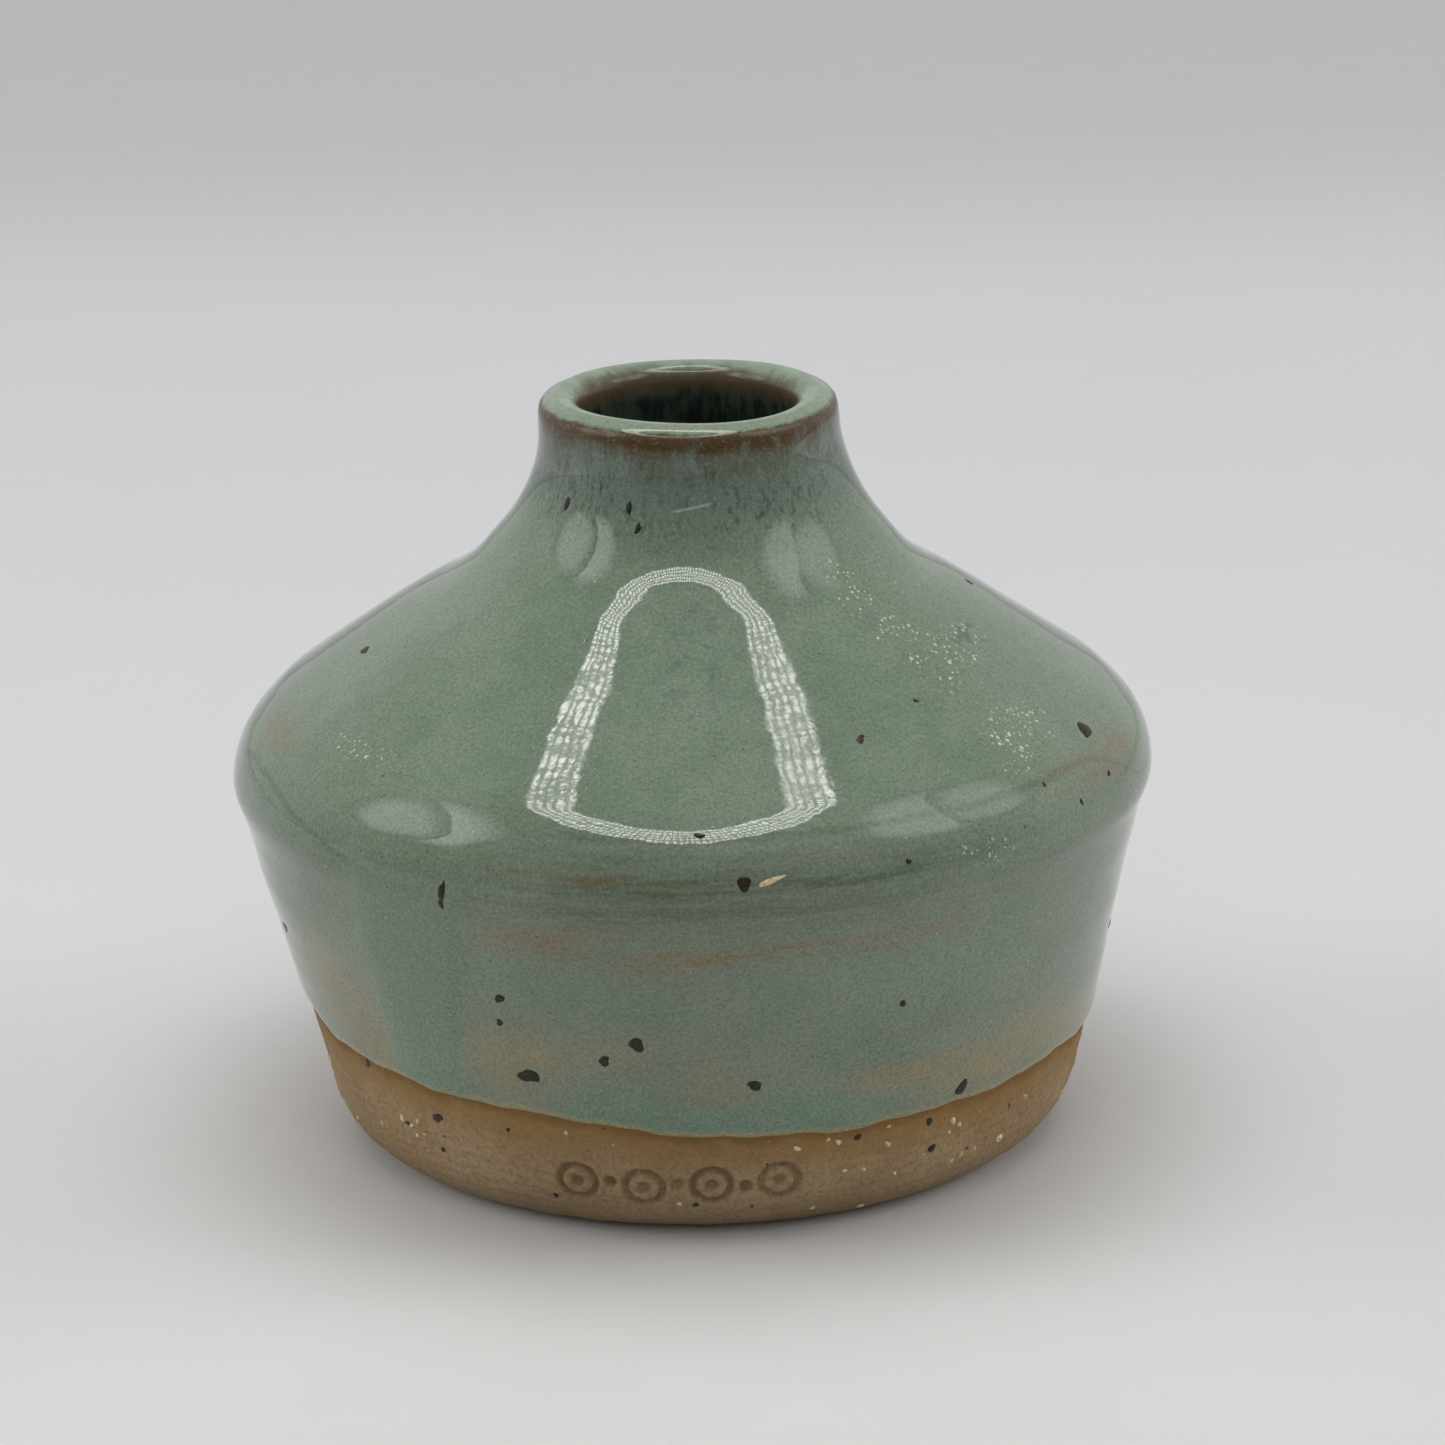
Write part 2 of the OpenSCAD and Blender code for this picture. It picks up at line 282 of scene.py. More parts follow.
# Dark olive lines under the belly: partly the glaze's own lines, partly painted shade and a painted dark
# reflection where the belly turns under
DARK_LINES_AND_BELLY_SHADE = [(226, 37.2, 17, 2.6, 0.45), (278, 34.8, 52, 1.6, 0.45), (266, 39.4, 26, 2.1, 0.6),
        (268, 35.4, 24, 0.5, 0.45), (262, 37.4, 16, 0.5, 0.4), (284, 37.6, 14, 0.7, 0.45),
        (270, 36.8, 26, 1.9, 0.5), (300, 37.8, 12, 1.6, 0.5), (100, 35.6, 40, 0.5, 0.6),
        (30, 37.0, 24, 0.8, 0.5), (160, 36.6, 22, 0.6, 0.5)]
# Where the shoulder's glaze turns olive under the neck
OLIVE_VEIL = [(268, 62, 22, 2.4, 1.0), (236, 61.5, 14, 2.2, 0.6), (302, 62, 12, 2.0, 0.5),
              (246, 42, 8, 1.5, 0.4)]
# Yellow-green crystals floating in the shoulder's glaze
CRYSTALS = [(316, 55.5, 6, 3.5, 0.8), (320, 51.5, 7, 3.2, 1.0), (333, 50.5, 10, 1.6, 0.9),
            (313, 57, 4, 2, 0.7), (326, 45.0, 9, 1.8, 0.9), (318, 43.0, 6, 1.5, 0.7),
            (308, 37.8, 6, 1.4, 0.8), (216, 44.2, 12, 0.9, 0.8), (332, 56.5, 4, 2.0, 0.5),
            (30, 53, 12, 3, 0.8), (70, 46, 10, 2, 0.8), (118, 55, 10, 2.5, 0.7), (160, 45, 14, 1.5, 0.8)]
# Where the surface is satin rather than glassy
SATIN = [(288, 50, 10, 9, 0.22), (318, 50, 18, 12, 1.0), (330, 34, 30, 10, 0.4), (255, 25, 40, 8, 0.25),
         (30, 50, 40, 10, 0.6), (120, 52, 24, 9, 0.6)]
# Blue-dark melts among them
MELTS = [(270, 53.5, 9, 4.5, 0.4), (336, 51.0, 9, 1.0, 0.9), (314, 53.5, 4, 2.5, 0.35),
         (52, 50, 10, 1.4, 0.8), (140, 51, 8, 1.2, 0.7)]


def sage_edge(azimuth):
    """Height down to which the second, sage-green dip of the shoulder reaches."""
    left = 40.2 - 4.6 * smooth(196, 236, np.where(azimuth < 90, azimuth + 360, azimuth))
    step = smooth(241, 248, azimuth) * (1 - smooth(330, 352, azimuth))
    around = 38.5 + 1.2 * np.sin(np.radians(2 * azimuth + 30)) + 0.5 * np.sin(np.radians(5 * azimuth))
    front = left * (1 - step) + 41.6 * step
    seen = smooth(178, 196, azimuth) * (1 - smooth(338, 356, azimuth))
    return around * (1 - seen) + front * seen


# ------------------------------------------------------------------ meshes
def write_mesh(name, points, faces, attributes=None, sharp_rings=()):
    mesh = bpy.data.meshes.new(name)
    mesh.from_pydata((np.asarray(points) * MM).tolist(), [], faces)
    mesh.polygons.foreach_set("use_smooth", [True] * len(mesh.polygons))
    for key, values in (attributes or {}).items():
        layer = mesh.attributes.new(key, "FLOAT", "POINT")
        layer.data.foreach_set("value", np.asarray(values, np.float32).ravel())
    if sharp_rings:
        ring = set()
        for indices in sharp_rings:
            ring.update(zip(indices, np.roll(indices, -1)))
        ring |= {(b, a) for a, b in ring}
        for e in mesh.edges:
            if tuple(e.vertices) in ring:
                e.use_edge_sharp = True
    mesh.validate()
    obj = bpy.data.objects.new(name, mesh)
    bpy.context.scene.collection.objects.link(obj)
    return obj


def band_faces(rows, columns, closed):
    """Quads between successive rings of vertices, wound so that they face away from the clay."""
    i = np.arange(columns)
    j = (i + 1) % columns
    faces = []
    for row in range(rows if closed else rows - 1):
        a, b = row * columns, ((row + 1) % rows) * columns
        faces.append(np.stack([a + i, a + j, b + j, b + i], -1))
    return np.concatenate(faces).tolist()


def revolve(name, grid, attributes, closed=False, start_pole=None, end_pole=None, sharp_rows=()):
    rows, columns = grid.shape[:2]
    points = grid.reshape(-1, 3)
    faces = band_faces(rows, columns, closed)
    extra = 0
    for pole, row, flip in ((start_pole, 0, True), (end_pole, rows - 1, False)):
        if pole is None:
            continue
        points = np.vstack([points, pole])
        tip = rows * columns + extra
        extra += 1
        base = row * columns
        for k in range(columns):
            a, b = base + k, base + (k + 1) % columns
            faces.append([tip, b, a] if flip else [tip, a, b])
    data = {k: np.r_[v.ravel(), np.full(extra, v[0 if start_pole is not None else -1].mean())]
            for k, v in attributes.items()}
    rings = [list(range(r * columns, (r + 1) * columns)) for r in sharp_rows]
    return write_mesh(name, points, faces, data, rings)


# ---- the clay
MARK_COUNT, MARK_PITCH, MARK_MIDDLE, MARK_HEIGHT = 4, 10.0, 266.0, 6.2
MARK_DEPTH = 0.5


def mark_depth(azimuth, z, radius):
    """Depth of the pressed rings and dots, with soft shoulders where the stamp pushed the clay aside."""
    depth = np.zeros(np.broadcast(azimuth, z).shape)
    for i in range(2 * MARK_COUNT - 1):
        x = np.radians(turn(azimuth, MARK_MIDDLE + MARK_PITCH * (i - MARK_COUNT + 1) / 2)) * radius
        y = (z - MARK_HEIGHT - 0.25 * math.sin(i * 2.3)) / cos(wall_lean)
        d = np.hypot(x, y)
        dot = 1 - smooth(0.40, 0.75, d)
        ring = smooth(1.35, 1.55, d) * (1 - smooth(1.95, 2.15, d)) if i % 2 == 0 else 0
        raised = 0.16 * (smooth(2.1, 2.4, d) * (1 - smooth(2.4, 3.1, d))) if i % 2 == 0 else 0
        even = 0.8 + 0.2 * math.sin(i * 1.7)
        depth = np.maximum(depth, even * np.maximum(dot, ring)) - 0.5 * raised * (depth == 0)
    return depth * MARK_DEPTH


def clay():
    span = MARK_PITCH * (MARK_COUNT + 1)
    fine = np.arange(MARK_MIDDLE - span / 2, MARK_MIDDLE + span / 2, 0.26)
    rest = np.linspace(MARK_MIDDLE + span / 2, MARK_MIDDLE - span / 2 + 360, 300)[:-1]
    azimuth = np.r_[fine, rest][None, :] % 360
    s_mark = [float(outline.s_of_height(z, S_FOOT, S_BELLY)) for z in (0.4, 10.5, 18.0)]
    s = np.r_[np.linspace(2, S_FOOT - 6, 9)[:-1], np.linspace(S_FOOT - 6, s_mark[0], 16)[:-1],
              np.linspace(s_mark[0], s_mark[1], 54)[:-1], np.linspace(s_mark[1], s_mark[2], 16)[:-1],
              np.linspace(s_mark[2], S_LIP - 4, 42)[:-1], np.linspace(S_LIP - 4, S_LIP + 4, 18)[:-1],
              np.linspace(S_LIP + 4, outline.length - 2, 40)][:, None]
    azimuth, s = np.broadcast_arrays(azimuth, s)
    p, _ = outline.at(s)
    z = p[..., 1]
    xyz = place(azimuth, s, np.zeros(s.shape))
    bare = (s < s_mark[2]) & (s > S_FOOT - 2)
    grain = 0.035 * ripples(xyz, 1.6, 21) + 0.03 * ripples(xyz, 4.5, 22)
    trimming = 0.03 * np.sin(2 * math.pi * z / 1.15 + 0.8 * np.sin(np.radians(3 * azimuth)))
    off = throw(azimuth, s) + np.where(bare, grain + trimming * smooth(1.5, 3, z), 0)
    off -= np.where(bare, mark_depth(azimuth, z, p[..., 0]), 0)
    grid = place(azimuth, s, off)
    grid[..., 2] = np.where(s < S_BELLY, np.maximum(grid[..., 2], 0), grid[..., 2])
    line = line_z(azimuth)
    attributes = {
        "below_line": np.clip(line - z, -4, 20),
        "pressed": np.where(bare, mark_depth(azimuth, z, p[..., 0]) / MARK_DEPTH, 0),
        "low": 1 - smooth(1.0, 6.5, z),
    }
    poles = [np.array([FOOT_SHIFT, 0, height]) for height in (BASE_HOLLOW_DEPTH, FLOOR_HEIGHT)]
    return revolve("clay_body", grid, attributes, start_pole=poles[0], end_pole=poles[1])


# ---- the outside coat
def coat_offset(azimuth, z, above):
    """Height of the glaze's surface over the clay: rolled at its lower edge, thicker in drips and pools."""
    body = GLAZE + 0.20 * drip_mask(azimuth, z, 2.6) + 0.14 * patches(azimuth, z, POOLS)
    body += 0.05 * np.exp(-((above - 2.0) / 1.3) ** 2)
    thin = patches(azimuth, z, THIN)
    body -= 0.10 * thin
    roll = 1.5 + 1.2 * thin + 0.3 * drip_mask(azimuth, z, 2.6)
    t = np.clip(above / roll, 0, 1)
    return (body + 0.12) * np.sqrt(np.clip(1 - (1 - t) ** 2, 0, 1)) - 0.12


def outer_coat():
    columns = 480
    azimuth = np.arange(columns)[None, :] * 360 / columns
    s_line = outline.s_of_height(line_z(azimuth), S_FOOT, S_BELLY)
    level = float(s_line.mean())
    near = np.array([0, 0.04, 0.1, 0.18, 0.28, 0.4, 0.55, 0.72, 0.9, 1.1, 1.35, 1.65, 2.0, 2.4, 2.85])
    far = np.linspace(near[-1], S_LIP - level, 134)[1:]
    steps = np.r_[near, far][:, None]
    fade = 1 - smooth(2, 17, steps)
    s = level + steps + (s_line - level) * fade
    azimuth, s = np.broadcast_arrays(azimuth, s)
    p, _ = outline.at(s)
    z = p[..., 1]
    above = (s - s_line)
    off = coat_offset(azimuth, z, above) + throw(azimuth, s)
    outer = place(azimuth, s, off)
    keep = np.r_[np.arange(0, len(steps) - 1, 4), len(steps) - 1][::-1]
    inner = place(azimuth[keep], s[keep], throw(azimuth[keep], s[keep]) - 0.3)
    grid = np.concatenate([outer, inner])

    def both(values):
        return np.concatenate([values, values[keep]])

    thin = patches(azimuth, z, THIN)
    low_drip = drip_mask(azimuth, z, 0.8) * (1 - smooth(26, 36, z))
    pool = np.clip(patches(azimuth, z, POOLS) + 0.85 * low_drip, 0, 1)
    attributes = {
        "above_line": np.clip(above, 0, 40),
        "thin": thin * (1 - 0.9 * drip_mask(azimuth, z, 1.0)),
        "pool": pool,
        "bands": patches(azimuth, z, BANDS) * (1 - 0.8 * drip_mask(azimuth, z, 1.0)),
        "dark": patches(azimuth, z, DARK_LINES_AND_BELLY_SHADE),
        "crystals": patches(azimuth, z, CRYSTALS),
        "melts": patches(azimuth, z, MELTS),
        "olive": patches(azimuth, z, OLIVE_VEIL),
        "sage": z - sage_edge(azimuth),
        "height": z,
        "drip": drip_mask(azimuth, z, 0.8),
        "to_lip": np.clip(S_LIP - s, 0, 12),
        "around": turn(azimuth, 270),
        "satin": patches(azimuth, z, SATIN),
    }
    return revolve("outer_glaze_coat", grid, {k: both(v) for k, v in attributes.items()}, closed=True,
                   sharp_rows=(len(steps) - 1,))


# ---- the inside coat
def liner_coat():
    columns = 300
    azimuth = np.arange(columns)[None, :] * 360 / columns
    s_throat = S_LIP + 14
    s = np.r_[np.linspace(S_LIP, s_throat, 44)[:-1], np.linspace(s_throat, outline.length - 1.5, 70)][:, None]
    azimuth, s = np.broadcast_arrays(azimuth, s)
    p, _ = outline.at(s)
    fade = smooth(0, 6, outline.length - s)
    off = GLAZE + throw(azimuth, s) * fade
    off += 0.05 * ripples(place(azimuth, s, np.zeros(s.shape)), 9, 31) * smooth(0, 3, s - S_LIP) * fade
    off += 0.35 * smooth(0.3, 2.4, s - S_LIP) * (1 - smooth(4, 9, s - S_LIP))
    outer = place(azimuth, s, off)
    keep = np.r_[np.arange(0, len(s) - 1, 3), len(s) - 1][::-1]
    inner = place(azimuth[keep], s[keep], throw(azimuth[keep], s[keep]) * fade[keep] - 0.15)
    rows, columns = outer.shape[:2]
    count = rows * columns
    points = np.vstack([outer.reshape(-1, 3), inner.reshape(-1, 3),
                        [[FOOT_SHIFT, 0, FLOOR_HEIGHT + GLAZE]], [[FOOT_SHIFT, 0, FLOOR_HEIGHT - 0.15]]])
    faces = band_faces(rows, columns, False)
    faces += (np.array(band_faces(len(keep), columns, False)) + count).tolist()
    tip, under = len(points) - 2, len(points) - 1
    last, first = (rows - 1) * columns, count
    end = count + (len(keep) - 1) * columns
    for k in range(columns):
        m = (k + 1) % columns
        faces.append([tip, last + k, last + m])
        faces.append([under, first + m, first + k])
        faces.append([end + k, end + m, m, k])
    depth = np.clip((s - S_LIP) / 14, 0, 1)
    attributes = {"depth": np.r_[depth.ravel(), depth[keep].ravel(), 1, 1]}
    return write_mesh("liner_glaze_coat", points, faces, attributes, [list(range(columns))])


# ---- specks and grains
def blob(azimuth, z, radius, long=1.0, angle=0.0, rise=0.06, sink=0.12, seed=0, over_glaze=True, segments=18):
    """A low, uneven blob lying in the surface: rings of points from a domed top to an edge just under it."""
    rng = np.random.default_rng(seed)
    s0 = float(outline.s_of_height(z, S_FOOT, outline.s_of_height(CLAY_HEIGHT - 1.5, S_BELLY, S_LIP)))
    a = np.linspace(0, 2 * math.pi, segments, endpoint=False)
    wobble = 1 + 0.16 * np.sin(2 * a + rng.uniform(0, 6)) + 0.11 * np.sin(3 * a + rng.uniform(0, 6))
    wobble += 0.06 * np.sin(5 * a + rng.uniform(0, 6))
    local_r = float(outline.at(np.array([s0]))[0][0, 0])
    rings = []
    for share, lift in ((0.35, 0.95), (0.62, 0.75), (0.85, 0.38), (1.0, 0.0), (0.9, -1.0)):
        x = share * radius * wobble * np.cos(a) * long
        y = share * radius * wobble * np.sin(a) / math.sqrt(long)
        u = x * math.cos(angle) - y * math.sin(angle)
        v = x * math.sin(angle) + y * math.cos(angle)
        az = azimuth + np.degrees(u / local_r)
        s = s0 + v
        base = surface_offset(az, s, over_glaze, s0)
        off = base + (rise * lift if lift >= 0 else -sink)
        rings.append(place(az, s, off))
    top_off = surface_offset(np.array([azimuth]), np.array([s0]), over_glaze, s0)
    top = place(np.array([azimuth]), np.array([s0]), top_off + rise)[0]
    bottom = place(np.array([azimuth]), np.array([s0]), top_off - sink * 1.2)[0]
    points = np.vstack([np.concatenate(rings), top, bottom])
    faces = []
    n = segments
    for r in range(len(rings) - 1):
        for k in range(n):
            m = (k + 1) % n
            faces.append([r * n + k, (r + 1) * n + k, (r + 1) * n + m, r * n + m])
    tip, low = len(points) - 2, len(points) - 1
    for k in range(n):
        m = (k + 1) % n
        faces.append([tip, k, m])
        faces.append([low, (len(rings) - 1) * n + m, (len(rings) - 1) * n + k])
    return points, faces


def surface_offset(azimuth, s, over_glaze, s_middle):
    """Height of the surface a blob lies in; across the glaze line it keeps the coat's full height."""
    z = outline.at(s)[0][..., 1]
    s_line = outline.s_of_height(line_z(azimuth), S_FOOT, S_BELLY)
    above = np.maximum(s - s_line, 1.2 if over_glaze and abs(s_middle - float(s_line.mean())) < 1.2 else 0)
    coat = np.where(above > 0, coat_offset(azimuth, z, above), 0)
    return throw(azimuth, s) + (np.maximum(coat, 0) if over_glaze else 0)


def gather(name, blobs):
    points, faces, tone, start = [], [], [], 0
    for k, (p, f) in enumerate(blobs):
        points.append(p)
        faces += [[i + start for i in corner_list] for corner_list in f]
        tone += [(k * 0.618) % 1] * len(p)
        start += len(p)
    return write_mesh(name, np.concatenate(points), faces, {"tone": tone})


# Iron specks in the glaze or the bare foot: (azimuth, height, radius, stretch, direction in degrees, glazed)
IRON = [
    (337, 42.8, 0.62, 1.35, 15, True), (262, 21.7, 0.52, 1.15, 70, True), (246.3, 17.4, 0.62, 1.2, 0, True),
    (309, 13.1, 0.52, 1.1, 60, True), (276, 38.1, 0.45, 1.3, 80, True), (277.2, 17.2, 0.42, 1.2, 0, True),
    (257.4, 19.8, 0.38, 1.1, 30, True), (239, 36.1, 0.34, 2.0, 84, True),
    (238.7, 34.9, 0.24, 1.7, 88, True), (244.3, 25.5, 0.34, 1.2, 60, True),
    (243.5, 22.8, 0.26, 1.1, 20, True), (228, 10.2, 0.42, 1.1, 10, False),
    (213.6, 13.2, 0.34, 1.1, 40, False), (305.8, 7.0, 0.33, 1.1, 30, False),
    (304.5, 10.0, 0.28, 1.0, 0, False), (297.5, 23.9, 0.26, 1.1, 0, True),
    (220.6, 8.3, 0.24, 1.2, 0, False), (227.6, 6.6, 0.22, 1.0, 0, False), (241, 10.8, 0.18, 1.0, 0, False),
    (292.6, 10.0, 0.24, 1.1, 0, False), (247, 4.2, 0.22, 1.0, 0, False), (268.6, 4.1, 0.22, 1.2, 90, False),
    (321.4, 8.5, 0.22, 1.0, 0, False), (313, 5.7, 0.18, 1.0, 0, False), (221, 64.3, 0.30, 2.0, 88, True),
    (247.6, 64.9, 0.26, 2.2, 88, True), (251.6, 63.1, 0.26, 1.6, 70, True),
    (297, 46.9, 0.30, 1.3, 40, True), (310.6, 48.5, 0.18, 1.2, 0, True), (296.5, 38.4, 0.20, 1.0, 0, True),
    (270.8, 41.8, 0.24, 1.5, 0, True), (191, 48.8, 0.42, 1.4, 20, True), (334.5, 39.7, 0.22, 1.0, 0, True),
    (320.8, 41.3, 0.18, 1.0, 0, True), (326, 38.9, 0.18, 1.4, 90, True), (196, 23.6, 0.5, 1.6, 30, True),
    (20, 24, 0.50, 1.2, 20, True), (62, 41, 0.58, 1.3, 0, True), (95, 17, 0.46, 1.1, 50, True),
    (128, 28, 0.52, 1.2, 80, True), (160, 13.4, 0.42, 1.1, 0, False), (38, 33, 0.3, 1.3, 0, True),
    (110, 48, 0.34, 1.3, 30, True), (146, 21, 0.3, 1.1, 0, True), (5, 52, 0.3, 1.4, 60, True),
    (80, 9, 0.3, 1.1, 0, False), (118, 6.4, 0.26, 1.0, 0, False), (30, 7.4, 0.3, 1.1, 0, False),
    (176, 30, 0.34, 1.2, 40, True), (352, 20.5, 0.36, 1.2, 10, True),
]
# Clusters of pale grains standing out of the bare foot, as (azimuth, height, radius)
GRAIN_CLUSTERS = [(309, 9.3, 0.34), (310.4, 8.7, 0.26), (308.6, 8.2, 0.2), (312, 5.2, 0.3),
                  (310.2, 4.8, 0.24), (289.6, 9.8, 0.28), (288, 10.3, 0.2), (283.4, 9.7, 0.3),
                  (223.4, 9.0, 0.28), (221.6, 8.2, 0.26), (222.4, 7.3, 0.24), (224.2, 7.7, 0.18),
                  (250.2, 11.4, 0.22), (320.6, 5.2, 0.42), (286.8, 2.6, 0.26), (266.2, 4.2, 0.22),
                  (297.4, 10.6, 0.2), (294, 6.4, 0.2), (299.5, 5.2, 0.2), (295.6, 1.6, 0.34)]
GRAIN_COUNT, GRAIN_RADIUS = 34, 0.42
SPECK_SCALE = 1.35


def iron_specks():
    return gather("iron_specks_melted", [
        blob(a, z, SPECK_SCALE * r, stretch, math.radians(way), rise=0.07 if glazed else 0.05, seed=100 + k,
             over_glaze=glazed)
        for k, (a, z, r, stretch, way, glazed) in enumerate(IRON)])


def grains():
    row_end = MARK_MIDDLE + MARK_PITCH * (MARK_COUNT + 1) / 2
    spread = 1 - MARK_PITCH * (MARK_COUNT + 1) / 360
    rows = []
    for i in range(GRAIN_COUNT):
        rad = math.radians
        rows.append(((row_end + (i * 137.508) % 360 * spread) % 360, 6.6 + 2 * math.sin(rad(i * 73)),
                     GRAIN_RADIUS * (0.65 + 0.35 * math.sin(rad(i * 211))) * 0.8))
    return gather("feldspar_grains_set", [
        blob(a, z, r, 1.15, k * 1.9, rise=0.55 * r, sink=0.3, seed=400 + k, over_glaze=False, segments=12)
        for k, (a, z, r) in enumerate(rows + GRAIN_CLUSTERS)]
        # a pale sliver on the belly beside an iron speck: a painted highlight, not a grain
        + [blob(279.2, 38.2, 0.42, 3.2, 0.35, rise=0.05, seed=777)])


# ------------------------------------------------------------------ materials
def srgb(r, g, b):
    """Display colour, 0 to 255, as linear RGBA."""
    linear = [c / 255 / 12.92 if c <= 10 else ((c / 255 + 0.055) / 1.055) ** 2.4 for c in (r, g, b)]
    return (*linear, 1.0)


class Nodes:
    """Short ways to add and join the nodes of one tree, which starts empty."""

    def __init__(self, tree):
        self.tree = tree
        self.tree.nodes.clear()

    def new(self, kind):
        return self.tree.nodes.new("ShaderNode" + kind)

    def put(self, socket, value):
        if isinstance(value, bpy.types.NodeSocket):
            self.tree.links.new(value, socket)
        else:
            socket.default_value = value

    def vector(self, operation, a, b=None, scale=None):
        node = self.new("VectorMath")
        node.operation = operation
        self.put(node.inputs[0], a)
        if b is not None:
            self.put(node.inputs[1], b)
        if scale is not None:
            self.put(node.inputs["Scale"], scale)
        return node.outputs[0]

    def math(self, operation, a, b=0.0, clamp=False):
        node = self.new("Math")
        node.operation = operation
        node.use_clamp = clamp
        self.put(node.inputs[0], a)
        self.put(node.inputs[1], b)
        return node.outputs[0]

    def times(self, *values):
        result = values[0]
        for v in values[1:]:
            result = self.math("MULTIPLY", result, v)
        return result

    def plus(self, *values):
        result = values[0]
        for v in values[1:]:
            result = self.math("ADD", result, v)
        return result

    def mix(self, factor, a, b):
        node = self.new("Mix")
        node.data_type = "RGBA"
        self.put(node.inputs["Factor"], factor)
        self.put(node.inputs[6], a)
        self.put(node.inputs[7], b)
        return node.outputs[2]

    def sway(self, noise, amount):
        """Noise moved to lie around zero, times an amount."""
        return self.times(self.math("SUBTRACT", noise, 0.5), amount)

    def fade(self, value, lo, hi, low=0.0, high=1.0):
        node = self.new("MapRange")
        node.interpolation_type = "SMOOTHSTEP"
        self.put(node.inputs["Value"], value)
        for key, v in (("From Min", lo), ("From Max", hi), ("To Min", low), ("To Max", high)):
            node.inputs[key].default_value = v
        return node.outputs[0]

    def attribute(self, name):
        node = self.new("Attribute")
        node.attribute_name = name
        return node.outputs["Fac"]

    def blend(self, share, a, b):
        """Number that share of the way from a to b."""
        node = self.new("Mix")
        for k, value in ((0, share), (2, a), (3, b)):
            self.put(node.inputs[k], value)
        return node.outputs[0]


class Shader(Nodes):
    """Builds one procedural material. Patterns live in object space, with their sizes in millimetres."""

    def __init__(self, name):
        self.material = bpy.data.materials.new(name)
        self.material.use_nodes = True
        super().__init__(self.material.node_tree)
        self.out = self.new("OutputMaterial")
        self.surface = self.new("BsdfPrincipled")
        self.put(self.out.inputs[0], self.surface.outputs[0])
        coordinates = self.new("TexCoord")
        self.mm = self.vector("SCALE", coordinates.outputs["Object"], scale=1 / MM)

    def noise(self, size, detail=3.0, rough=0.55, stretch=(1, 1, 1), shift=0.0):
        """Noise with features about size across; stretch makes them longer along an axis."""
        node = self.new("TexNoise")
        squash = self.vector("MULTIPLY", self.mm, tuple(1 / k for k in stretch))
        moved = self.vector("ADD", squash, (shift, shift * 0.7, shift * 1.3))
        self.put(node.inputs["Vector"], moved)
        node.inputs["Scale"].default_value = 1 / size
        node.inputs["Detail"].default_value = detail
        node.inputs["Roughness"].default_value = rough
        return node.outputs[0]

    def dots(self, pitch, radius, share, stretch=(1, 1, 1), shift=0.0):
        """Scattered round dots, 1 inside and 0 outside: one place to each cell, filled in a share of them."""
        squash = self.vector("MULTIPLY", self.mm, tuple(1 / k for k in stretch))
        moved = self.vector("ADD", squash, (shift, shift * 0.6, shift * 1.7))
        node = self.new("TexVoronoi")
        self.put(node.inputs["Vector"], moved)
        node.inputs["Scale"].default_value = 1 / pitch
        split = self.new("SeparateColor")
        self.put(split.inputs[0], node.outputs["Color"])
        reach = self.fade(split.outputs[1], 0, 1, 0.45, 1.0)
        far = self.math("DIVIDE", node.outputs["Distance"], self.times(reach, radius / pitch))
        inside = self.fade(far, 0.6, 1.0, 1.0, 0.0)
        chosen = self.math("LESS_THAN", split.outputs[0], share)
        return self.times(inside, chosen)

    def bump(self, height):
        """Normal from a height in millimetres."""
        node = self.new("Bump")
        node.inputs["Strength"].default_value = 1.0
        node.inputs["Distance"].default_value = MM
        self.put(node.inputs["Height"], height)
        return node.outputs[0]

    def finish(self, colour, roughness, height, ior=1.5):
        self.put(self.surface.inputs["Base Color"], colour)
        self.put(self.surface.inputs["Roughness"], roughness)
        self.put(self.surface.inputs["Normal"], self.bump(height))
        self.surface.inputs["IOR"].default_value = ior
        return self.material

    def glow(self, colour, strength):
        """A light of one colour, in place of the glossy surface."""
        self.tree.nodes.remove(self.surface)
        shine = self.new("Emission")
        shine.inputs["Color"].default_value = colour
        self.put(shine.inputs["Strength"], strength)
        self.put(self.out.inputs[0], shine.outputs[0])
        return self.material


WALL_GLAZE, WALL_PALE, WALL_LIGHT = srgb(110, 124, 108), srgb(120, 133, 117), srgb(164, 178, 160)
SAGE, SAGE_DEEP = srgb(119, 134, 116), srgb(110, 126, 107)
NECK_GLAZE = srgb(101, 114, 103)
TEAL, TEAL_DEEP = srgb(112, 135, 118), srgb(102, 125, 108)
TAN, RUST_BAND, OLIVE, OCHRE = srgb(144, 128, 95), srgb(128, 108, 80), srgb(68, 74, 54), srgb(160, 144, 100)
STREAK, SPECK, CRYSTAL, MELT = srgb(48, 56, 46), srgb(54, 60, 48), srgb(206, 208, 166), srgb(58, 80, 80)
RIM, RIM_DEEP = srgb(132, 148, 127), srgb(118, 136, 116)
LIP_BROWN, SCRATCH_HIGHLIGHT = srgb(74, 54, 28), srgb(168, 176, 162)
INSIDE_GREEN, INSIDE_BLACK, THROAT_BROWN = srgb(52, 62, 53), srgb(28, 34, 30), srgb(84, 72, 54)
BUFF, BUFF_PALE, SAND_DARK = srgb(148, 124, 91), srgb(159, 137, 104), srgb(104, 86, 64)
TOAST, TOAST_DEEP = srgb(136, 104, 60), srgb(112, 82, 43)
FOOT_GREY, STAMP_SHADE = srgb(116, 103, 86), srgb(84, 68, 48)
CLAY_SPECK, CLAY_GRAIN = srgb(50, 40, 32), srgb(206, 190, 156)
IRON_BLACK, IRON_BROWN, IRON_RUST = srgb(30, 27, 22), srgb(46, 38, 28), srgb(54, 45, 35)
